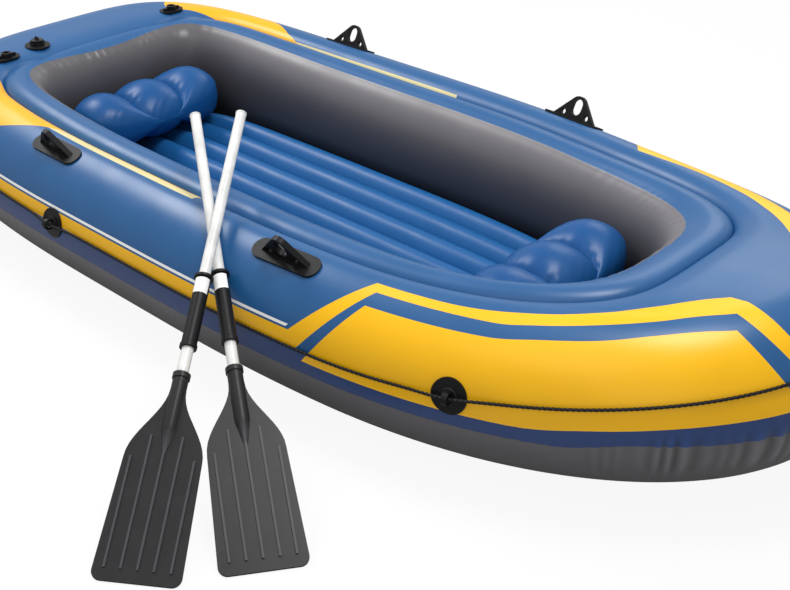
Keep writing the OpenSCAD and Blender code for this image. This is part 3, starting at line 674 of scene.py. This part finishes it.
class BOAT_OT_stage(bpy.types.Operator):
    """Camera, pale floor and soft studio light"""
    bl_idname = "boat.stage"
    bl_label = "Studio stage"

    def execute(self, context):
        scene = context.scene
        scene.view_settings.view_transform = "Standard"
        self.camera(scene)
        self.floor()
        self.lamps(scene)
        return {"FINISHED"}

    def camera(self, scene):
        """Camera at the height and distance of a standing viewer off the bow"""
        lens = bpy.data.cameras.new("camera")
        lens.sensor_width = 36
        lens.lens = 59.77
        lens.shift_x = 0.0978
        lens.shift_y = -0.1645
        lens.clip_end = 100
        place = (2.281, -2.380, 1.821)
        look = Vector((-0.6442, 0.6402, -0.4185)).normalized()
        roll = -0.008
        right = look.cross(Vector((0, 0, 1))).normalized()
        up = right.cross(look)
        turned = Matrix((right, up, -look)).transposed() @ Matrix.Rotation(roll, 3, "Z")
        eye = bpy.data.objects.new("camera", lens)
        eye.matrix_world = Matrix.Translation(place) @ turned.to_4x4()
        scene.collection.objects.link(eye)
        scene.camera = eye

    def floor(self):
        """Large sheet of studio paper under the boat"""
        mesh = bpy.data.meshes.new("studio_floor")
        mesh.from_pydata([(-40, -40, 0), (40, -40, 0), (40, 40, 0), (-40, 40, 0)], [], [(0, 1, 2, 3)])
        ground = link("studio_floor", mesh)
        mesh.materials.append(material("studio_paper", self.paper))

    def paper(self, tree):
        """Matt white paper that reads as white to the eye and still takes the shadow"""
        seen = add(tree, "ShaderNodeLightPath").outputs["Is Camera Ray"]
        tone = add(tree, "ShaderNodeMix", {"Factor": seen, 6: (0.5, 0.5, 0.5, 1), 7: (0.86, 0.86, 0.86, 1)},
                   data_type="RGBA")
        sheet = add(tree, "ShaderNodeBsdfDiffuse", {"Color": tone.outputs[2]})
        glow = add(tree, "ShaderNodeEmission", {"Color": (1, 1, 1, 1), "Strength": 1.0})
        share = add(tree, "ShaderNodeMath", {0: seen, 1: 0.92}, operation="MULTIPLY")
        return add(tree, "ShaderNodeMixShader", {0: share, 1: sheet, 2: glow})

    def lamps(self, scene):
        """White surroundings, dimmer for diffuse light, and five softboxes"""
        world = bpy.data.worlds.new("studio_world")
        scene.world = world
        world.use_nodes = True
        tree = world.node_tree
        tree.nodes.clear()
        path = add(tree, "ShaderNodeLightPath")
        seen = add(tree, "ShaderNodeMath", {0: path.outputs["Is Glossy Ray"], 1: 0.5}, operation="MULTIPLY")
        for kind in ("Is Camera Ray", "Is Transmission Ray"):
            seen = add(tree, "ShaderNodeMath", {0: seen, 1: path.outputs[kind]}, operation="MAXIMUM")
        level = add(tree, "ShaderNodeMapRange", {"Value": seen, "To Min": 0.42, "To Max": 1.0})
        sky = add(tree, "ShaderNodeBackground", {"Color": (1, 1, 1, 1), "Strength": level})
        add(tree, "ShaderNodeOutputWorld", {"Surface": sky})
        self.softbox("key_softbox", (-3.8, -0.3, 4.2), 1.8, 135)
        self.softbox("top_softbox", (1.1, 0.2, 4.3), 1.4, 105)
        self.softbox("front_softbox", (0.9, -3.0, 3.9), 2.4, 22)
        self.softbox("fill_softbox", (3.6, -4.2, 2.2), 2.6, 14)
        self.softbox("back_softbox", (-1.7, 6.0, 4.2), 3.0, 60)

    def softbox(self, name, place, size, power):
        """Square area lamp turned to the middle of the boat"""
        lamp = bpy.data.lights.new(name, "AREA")
        lamp.shape = "SQUARE"
        lamp.size = size
        lamp.energy = power
        box = bpy.data.objects.new(name, lamp)
        box.location = place
        box.rotation_mode = "QUATERNION"
        box.rotation_quaternion = (Vector((0, 0, 0.2)) - Vector(place)).to_track_quat("-Z", "Y")
        bpy.context.scene.collection.objects.link(box)


class BOAT_OT_main_chamber(bpy.types.Operator):
    """Outer air chamber with its printed film and the puckers along its weld"""
    bl_idname = "boat.main_chamber"
    bl_label = "Main chamber"

    def execute(self, context):
        form = hull_form()
        # Rows lie closer round the bow, for its pleats, and points closer at the weld
        u = np.concatenate([np.arange(0, 60, 0.25), np.arange(60, 300, 0.5), np.arange(300, 360, 0.25)])
        angles = np.concatenate([np.linspace(-90, -26, 14), np.linspace(-24, 26, 34),
                                 np.linspace(29, 90, 26)])
        top = 1 - np.linspace(1, 0, 22)[1:] ** 2
        foot = np.array([1, 0.66, 0.33])
        many = np.meshgrid(u, angles, indexing="ij")
        outside = form.outer_point(*many)
        fold = form.crease(u) * form.reach_in(u)
        inward = form.inner_point(u[:, None] + 0 * top, form.crease(u)[:, None] * top, 1)
        below = form.inner_point(u[:, None] + 0 * foot, form.crease(u)[:, None] * foot, -1)
        grid = np.concatenate([outside, inward, below], 1)
        crest = form.girth(90)
        girth = np.concatenate([form.girth(many[1]), crest + fold[:, None] * top,
                                -crest - fold[:, None] * foot], 1)
        reach = form.reach(u)[:, None] + 0 * girth
        push, pleats = self.puckers(u[:, None], reach, girth)
        lines = {"reach": reach, "girth": girth, "fold": crest + fold[:, None] - girth, "pleat": pleats}
        grid = pushed(grid, True, push)
        piece = link("main_chamber_film", grid_mesh("main_chamber_film", grid, True, lines))
        fitted(piece, "hull", "hull_film", material("printed_pvc_film", hull_film), "main_chamber")
        return {"FINISHED"}

    def puckers(self, u, reach, girth):
        """Wrinkles square to the weld, strongest where the hull bends, its groove, and the bow's pleats"""
        high = bpy.context.scene.boat_hull.pucker
        bow = np.clip((0.46 - reach) / 0.16, 0, 1)
        bend = 0.12 + 0.3 * cosd(u) ** 2 * (1 - bow)
        side = np.where(u < 180, 0.0, 2.4)
        climb = np.clip((WELD_TO - reach) / (WELD_TO - WELD_FROM), 0, 1)
        weld = WELD_SIDE + (WELD_BOW - WELD_SIDE) * climb
        below = np.exp(-((girth - weld + 0.024) / 0.036) ** 2)
        above = np.exp(-((girth - weld - 0.016) / 0.02) ** 2)
        # Pitches of the wrinkles below and above the weld, and of the pleats
        low_pitch, high_pitch, pleat_pitch = 0.031, 0.027, 0.024
        waves = ripple(reach, low_pitch, 0.7 + side) * below
        waves = waves + 0.5 * ripple(reach, high_pitch, 1.9 + side) * above
        # Round the bow the bottom panel is gathered into upright pleats from the blue band down
        pleats = bow * ripple(reach, pleat_pitch, 0.3 + side) * np.exp(-((girth - weld + 0.03) / 0.05) ** 4)
        groove = np.exp(-((girth - weld) / 0.006) ** 2)
        return high * (bend * waves + 0.7 * pleats) - 0.0014 * groove, pleats


class BOAT_OT_inner_chamber(bpy.types.Operator):
    """Inner air chamber: blue top, grey cockpit wall and the weld between them"""
    bl_idname = "boat.inner_chamber"
    bl_label = "Inner chamber"

    def execute(self, context):
        form = hull_form()
        u = np.arange(0, 360, 0.75)
        m = form.wall_round(u)[:, None]
        start = form.crease(u) + CHAMBER_GAP / form.reach_in(u)
        low = np.degrees(np.arcsin(start[:, None] ** (m / 2)))
        upper = sind(low + (90 - low) * np.linspace(0, 1, 60) ** 1.5) ** (2 / m)
        lower = sind(90 - (90 - low) * np.linspace(0, 1, 26)[1:]) ** (2 / m)
        top = form.inner_point(u[:, None] + 0 * upper, upper, 1)
        below = form.inner_point(u[:, None] + 0 * lower, lower, -1)
        grid = np.concatenate([top, below], 1)
        # The weld between blue and grey lies further in at the ends
        share = 0.625 + 0.225 * cosd(u)[:, None] ** np.where(cosd(u) > 0, 2, 4)[:, None]
        depth = form.reach_in(u)[:, None]
        seam = np.concatenate([(upper - share) * depth, 1 + 0 * lower], 1)
        reach = form.reach(u)[:, None] + 0 * seam
        grid = pushed(grid, True, self.puckers(u[:, None], reach, seam))
        piece = link("inner_chamber_film", grid_mesh("inner_chamber_film", grid, True, {"seam": seam}))
        fitted(piece, "hull", "inner_film", material("two_tone_pvc_film", inner_film), "inner_chamber")
        return {"FINISHED"}

    def puckers(self, u, reach, seam):
        """Wrinkles square to the weld round the cockpit's ends, and the weld's shallow groove"""
        bend = cosd(u) ** 2
        side = np.where(u < 180, 0.0, 1.7)
        waves = ripple(reach, 0.05, 0.4 + side) * np.exp(-((seam - 0.012) / 0.02) ** 2)
        groove = np.exp(-(seam / 0.005) ** 2)
        return 0.36 * bpy.context.scene.boat_hull.pucker * bend * waves - 0.0012 * groove


class BOAT_OT_bottom_sheet(bpy.types.Operator):
    """Grey sheet across the underside"""
    bl_idname = "boat.bottom_sheet"
    bl_label = "Bottom sheet"

    def execute(self, context):
        form = hull_form()
        u = np.arange(5, 176, 1.0)
        c = form.centre(u)
        z = form.rise(c[:, 0])
        k = np.linspace(1, -1, 41)
        flat = np.stack([c[:, :1] + 0 * k, c[:, 1:] * k, z[:, None] + 0 * k], -1)
        upper = flat[:, ::-1] + np.array([0, 0, form.size.sheet - SHEET_GAP])
        grid = np.concatenate([flat, upper], 1)
        piece = link("bottom_sheet_film", grid_mesh("bottom_sheet_film", grid, False))
        fitted(piece, "hull", "bottom_film", material("grey_pvc_sheet", plain_film("grey")), "bottom_sheet")
        return {"FINISHED"}


class BOAT_OT_floor(bpy.types.Operator):
    """Inflated floor: long ribs with welded valleys between them"""
    bl_idname = "boat.floor"
    bl_label = "Floor"

    def execute(self, context):
        form = hull_form()
        hull, soft = context.scene.boat_hull, context.scene.boat_soft
        run = hull.cockpit_bow + hull.cockpit_stern - 2 * soft.floor_inset
        mid = (hull.cockpit_bow - hull.cockpit_stern) / 2
        # Share of the half-length that the ribs fill, thickness at the edge, share of the height in a valley
        full, rim, pinch = 0.975, 0.008, 0.5
        s = np.unique(np.clip(-cosd(np.linspace(0, 180, 150)), -full, full))[:, None]
        x = mid + s * run / 2
        base = form.rise(x) + hull.sheet + SHEET_GAP
        half = soft.floor_width / 2 * np.where(s > 0, corner(s, 2.9), corner(s, 5))
        v = np.linspace(-1, 1, soft.floor_ribs * 16 + 1)
        edge = 0.35 + 0.65 * corner(v, 14)
        swell = lobes(v, soft.floor_ribs, pinch, 0.62)
        valley = np.clip(1 - (swell - pinch) / 0.22, 0, 1)
        crown = (soft.floor_height - rim) * corner(s, 8)
        # Each valley's wrinkles start at another place
        start = 0.31 * np.round((v + 1) * soft.floor_ribs / 2)
        pucker = 0.0022 * valley * ripple(x + start, 0.047, 0.9)
        over = np.stack([x + 0 * v, half * v, base + rim + crown * swell * edge + pucker], -1)
        k = np.linspace(0.94, -0.94, 15)
        under = np.stack([x + 0 * k, half * k, base + 0 * k], -1)
        grid = capped(np.concatenate([under, over], 1), 0.0116)
        piece = link("floor_cushion", grid_mesh("floor_cushion", grid, False, sharp=70))
        fitted(piece, "hull", "floor_film", material("blue_pvc_floor", plain_film("floor")), "floor_mattress")
        return {"FINISHED"}


class BOAT_OT_seats(bpy.types.Operator):
    """Two inflated seats of three lobes, drawn in at their welds"""
    bl_idname = "boat.seats"
    bl_label = "Seats"

    def execute(self, context):
        soft = context.scene.boat_soft
        for name, mid, seed in (("bow_seat", soft.bow_seat_x, 0.3), ("stern_seat", soft.stern_seat_x, 1.6)):
            grid = self.cushion(mid, seed)
            piece = link(name + "_cushion", grid_mesh(name + "_cushion", grid, False, sharp=80))
            fitted(piece, name, "seat_film", material("blue_pvc_seat", plain_film("seat")), name)
        return {"FINISHED"}

    def cushion(self, mid, seed):
        """Rows of loops round the seat, from aft to forward"""
        form = hull_form()
        hull, soft = bpy.context.scene.boat_hull, bpy.context.scene.boat_soft
        # Share of the half-length that the lobes fill, gap to the floor, height of the widest line
        full, gap, belt = 0.997, 0.0006, 0.46 * soft.seat_height
        s = np.unique(np.clip(-cosd(np.linspace(0, 180, 90)), -full, full))[:, None]
        x = mid + 0.985 * s * soft.seat_length / 2
        y = soft.seat_width / 2 * corner(s, 3.2)
        base = hull.sheet + soft.floor_height + gap + form.rise(x)
        t = soft.seat_height / 2 * corner(s, 1.9)
        v = np.linspace(-1, 1, 61)
        swell = lobes(v, 3, 0.53) * corner(v, 7)
        valley = np.exp(-((np.abs(v) - 1 / 3) / 0.07) ** 2)
        ends = np.clip((np.abs(s) - 0.45) / 0.5, 0, 1)
        pucker = 0.004 * ends * ripple(y * v + 0.2 * s, 0.052, seed) * (0.4 + 0.6 * valley)
        pucker = pucker + 0.0022 * valley * ripple(x, 0.036, seed + 1)
        over = np.stack([x + 0 * v, y * v, base + belt + t * 1.08 * swell + pucker], -1)[:, 1:-1]
        w = v[::-1]
        lower = np.maximum(0, belt - t * (lobes(w, 3, 0.56) * corner(w, 7)) - 0.001)
        under = np.stack([x + 0 * w, y * w * 0.995, base + lower], -1)
        return capped(np.concatenate([under, over], 1), 0.0006)


class BOAT_OT_rope(bpy.types.Operator):
    """Laid rope round the hull, through its holders"""
    bl_idname = "boat.rope"
    bl_label = "Grab rope"

    def execute(self, context):
        form, soft = hull_form(), context.scene.boat_soft
        u = np.arange(0, 360, 0.5)
        rise = form.rise(form.centre(u)[:, 0])
        angle = np.degrees(np.arcsin((soft.rope_height + rise - form.q) / form.q))
        along = form.reach(u)
        gap = np.full_like(u, 9.0)
        for turn in HOLDER_TURN:
            other = np.minimum(abs(u - turn), 360 - abs(u - turn))
            near = np.abs(along - form.reach(np.array(float(turn))))
            gap = np.where(other < 25, np.minimum(gap, near), gap)
        lift = soft.rope_diameter / 2 + ROPE_GAP + HOLDER_LIFT * np.exp(-(gap / HOLDER_FADE) ** 2)
        path = form.outer_point(u, angle, lift)
        line = bpy.data.curves.new("rope_route", "CURVE")
        line.dimensions = "3D"
        spline = line.splines.new("POLY")
        spline.points.add(len(path) - 1)
        spline.points.foreach_set("co", np.c_[path, np.ones(len(path))].ravel())
        spline.use_cyclic_u = True
        route = link("rope_route", line)
        look = material("black_polypropylene_rope", laid_fibre)
        piece = self.twisted(route, soft, look)
        fitted(piece, "hull", "rope_cord", look, "grab_rope")
        return {"FINISHED"}

    def twisted(self, route, soft, look):
        """Runs the rope tree on the route and keeps its plain mesh"""
        tree = self.tree()
        maker = route.modifiers.new("laid rope", "NODES")
        maker.node_group = tree
        sizes = {"Diameter": soft.rope_diameter, "Lay": soft.rope_lay, "Look": look}
        for item in tree.interface.items_tree:
            if item.item_type == "SOCKET" and item.name in sizes:
                maker[item.identifier] = sizes[item.name]
        bpy.context.view_layer.update()
        graph = bpy.context.evaluated_depsgraph_get()
        mesh = bpy.data.meshes.new_from_object(route.evaluated_get(graph))
        mesh.name = "grab_rope_laid"
        route.modifiers.remove(maker)
        bpy.data.objects.remove(route)
        return link("grab_rope_laid", mesh)

    def tree(self):
        """Three strands laid together: a three-lobed section that turns along the route"""
        tree = bpy.data.node_groups.new("laid_rope", "GeometryNodeTree")
        face = tree.interface
        face.new_socket("Geometry", in_out="INPUT", socket_type="NodeSocketGeometry")
        for name in ("Diameter", "Lay"):
            face.new_socket(name, in_out="INPUT", socket_type="NodeSocketFloat")
        face.new_socket("Look", in_out="INPUT", socket_type="NodeSocketMaterial")
        face.new_socket("Geometry", in_out="OUTPUT", socket_type="NodeSocketGeometry")
        given = add(tree, "NodeGroupInput").outputs
        even = add(tree, "GeometryNodeResampleCurve", {"Curve": given["Geometry"], "Length": 0.0042},
                   mode="LENGTH")
        along = add(tree, "GeometryNodeSplineParameter")
        turns = add(tree, "ShaderNodeMath", {0: along.outputs["Length"], 1: given["Lay"]}, operation="DIVIDE")
        tilt = add(tree, "ShaderNodeMath", {0: turns, 1: 2 * math.pi}, operation="MULTIPLY")
        wound = add(tree, "GeometryNodeSetCurveTilt", {"Curve": even, "Tilt": tilt})
        ring = add(tree, "GeometryNodeCurvePrimitiveCircle", {"Resolution": 15, "Radius": 0.42})
        place = add(tree, "GeometryNodeInputPosition")
        split = add(tree, "ShaderNodeSeparateXYZ", {0: place})
        round_angle = add(tree, "ShaderNodeMath", {0: split.outputs[1], 1: split.outputs[0]},
                          operation="ARCTAN2")
        three = add(tree, "ShaderNodeMath", {0: round_angle, 1: 3.0}, operation="MULTIPLY")
        wave = add(tree, "ShaderNodeMath", {0: three}, operation="COSINE")
        swell = add(tree, "ShaderNodeMath", {0: wave, 1: 0.19, 2: 1.0}, operation="MULTIPLY_ADD")
        sized = add(tree, "ShaderNodeMath", {0: swell, 1: given["Diameter"]}, operation="MULTIPLY")
        spread = add(tree, "ShaderNodeVectorMath", {0: place, "Scale": sized}, operation="SCALE")
        lobed = add(tree, "GeometryNodeSetPosition", {"Geometry": ring, "Position": spread})
        tube = add(tree, "GeometryNodeCurveToMesh", {"Curve": wound, "Profile Curve": lobed})
        smooth = add(tree, "GeometryNodeSetShadeSmooth", {0: tube})
        whole = add(tree, "GeometryNodeRealizeInstances", {0: smooth})
        seen = add(tree, "GeometryNodeSetMaterial", {"Geometry": whole, "Material": given["Look"]})
        add(tree, "NodeGroupOutput", {"Geometry": seen})
        return tree


class BOAT_OT_fittings(bpy.types.Operator):
    """Welded mouldings: rope holders, oarlocks and motor mounts"""
    bl_idname = "boat.fittings"
    bl_label = "Fittings"

    def execute(self, context):
        look = material("black_moulded_pvc", moulded("black", shine=0.2))
        for i in range(8):
            dressed("rope_holder_%d" % (i + 1), "black_moulding", look, 0.0012)
        for i in range(4):
            dressed("oarlock_%d" % (i + 1), "black_moulding", look, 0.0016)
        for side in ("port", "starboard"):
            dressed("motor_mount_" + side, "black_moulding", look, 0.0012)
        return {"FINISHED"}


class BOAT_OT_valves(bpy.types.Operator):
    """Screw valves of the chambers and push-in valves of the floor and the seats"""
    bl_idname = "boat.valves"
    bl_label = "Valves"

    def execute(self, context):
        black = material("black_moulded_pvc", moulded("black", shine=0.2))
        grey = material("grey_moulded_pvc", moulded("sleeve", rough=0.35))
        clear = material("clear_flexible_pvc", clear_pvc)
        for chamber in ("main_valve_", "inner_valve_"):
            dressed(chamber + "base", "black_moulding", black, 0.0010)
            dressed(chamber + "insert", "black_moulding", black, 0.0006)
            dressed(chamber + "cap", "grey_moulding", grey, 0.0008)
        for node in ("floor_valve", "floor_valve_plug", "bow_seat_valve", "bow_seat_plug", "stern_seat_valve",
                     "stern_seat_plug"):
            dressed(node, "clear_moulding", clear, 0.0005)
        return {"FINISHED"}


class BOAT_OT_oars(bpy.types.Operator):
    """Two oars: ribbed blade, coated tube, oarlock sleeve and end cap"""
    bl_idname = "boat.oars"
    bl_label = "Oars"

    def execute(self, context):
        blade = material("moulded_polypropylene_blade", moulded("blade", rough=0.38, shine=0.22))
        tube = material("white_coated_aluminium", moulded("coat", rough=0.24, spark=4.0))
        grip = material("dark_moulded_abs", moulded("sleeve", shine=0.2))
        for i in (1, 2):
            self.mark_rib_highlights(dressed("oar_%d_blade" % i, "blade_plastic", blade, 0.0011))
            dressed("oar_%d_shaft" % i, "shaft_tube", tube, 0.0004)
            dressed("oar_%d_sleeve" % i, "sleeve_plastic", grip, 0.0010)
            dressed("oar_%d_cap" % i, "cap_plastic", tube, 0.0010)
            self.label("oar_%d_sleeve" % i)
        return {"FINISHED"}

    def mark_rib_highlights(self, piece):
        """Marks the crests of a blade's ribs, which stand proud of its plate, for the material's painted
        highlight
        """
        spots = points_of(piece.data)
        ways = np.linalg.svd(spots - spots.mean(0), full_matrices=False)[2]
        proud = (spots - np.median(spots, 0)) @ ways[2]
        proud = np.abs(proud - (proud.min() + proud.max()) / 2)
        crest = np.abs(proud - RIB_CREST) < RIB_MATCH
        layer = piece.data.attributes.new("rub", "FLOAT", "POINT")
        layer.data.foreach_set("value", crest.astype(np.float32))

    def label(self, sleeve):
        """Plain white label wrapped round a sleeve below its flange, on the side away from the hull"""
        spots = points_of(frame["nodes"][sleeve].data)
        mid = (spots.min(0) + spots.max(0)) / 2
        axis = np.linalg.svd(spots - mid, full_matrices=False)[2][0]
        axis = axis * np.sign(axis[2])
        along = (spots - mid) @ axis
        top = along.max() - LABEL_DROP
        radius = bpy.context.scene.boat_soft.sleeve_diameter / 2
        face = np.array(LABEL_SIDE)
        face = face - axis * (face @ axis)
        face = face / np.linalg.norm(face)
        side = np.cross(axis, face)
        section = ((0, LABEL_FOOT), (0, LABEL_FACE), (LABEL_LENGTH, LABEL_FACE), (LABEL_LENGTH, LABEL_FOOT))
        rows = []
        for turn in np.linspace(-LABEL_WRAP, LABEL_WRAP, 25):
            way = face * cosd(turn) + side * sind(turn)
            rows.append([mid + axis * (top - drop) + way * (radius + proud) for drop, proud in section])
        piece = link(sleeve + "_label", grid_mesh(sleeve + "_label", np.array(rows), False))
        fitted(piece, BODY[sleeve], "cap_plastic", material("white_label_film", plain_film("white")))


class BOAT_PT_panel(bpy.types.Panel):
    """Sizes, colours and makers of the boat"""
    bl_idname = "BOAT_PT_panel"
    bl_label = "Rowing boat"
    bl_space_type = "VIEW_3D"
    bl_region_type = "UI"
    bl_category = "Boat"

    def draw(self, context):
        for group in (context.scene.boat_hull, context.scene.boat_soft, context.scene.boat_colours):
            box = self.layout.box()
            for key in group.__annotations__:
                box.prop(group, key)
        for maker in MAKERS:
            self.layout.operator(maker.bl_idname)


GROUPS = (("boat_hull", HullSizes), ("boat_soft", SoftSizes), ("boat_colours", Colours))
MAKERS = (BOAT_OT_stage, BOAT_OT_main_chamber, BOAT_OT_inner_chamber, BOAT_OT_bottom_sheet, BOAT_OT_floor,
          BOAT_OT_seats, BOAT_OT_rope, BOAT_OT_fittings, BOAT_OT_valves, BOAT_OT_oars)


def register():
    for name, group in GROUPS:
        bpy.utils.register_class(group)
        setattr(bpy.types.Scene, name, PointerProperty(type=group))
    for maker in MAKERS:
        bpy.utils.register_class(maker)
    bpy.utils.register_class(BOAT_PT_panel)


def unregister():
    bpy.utils.unregister_class(BOAT_PT_panel)
    for maker in reversed(MAKERS):
        bpy.utils.unregister_class(maker)
    for name, group in reversed(GROUPS):
        delattr(bpy.types.Scene, name)
        bpy.utils.unregister_class(group)


def main():
    register()
    for maker in MAKERS:
        space, name = maker.bl_idname.split(".")
        getattr(getattr(bpy.ops, space), name)()


if __name__ == "__main__":
    main()
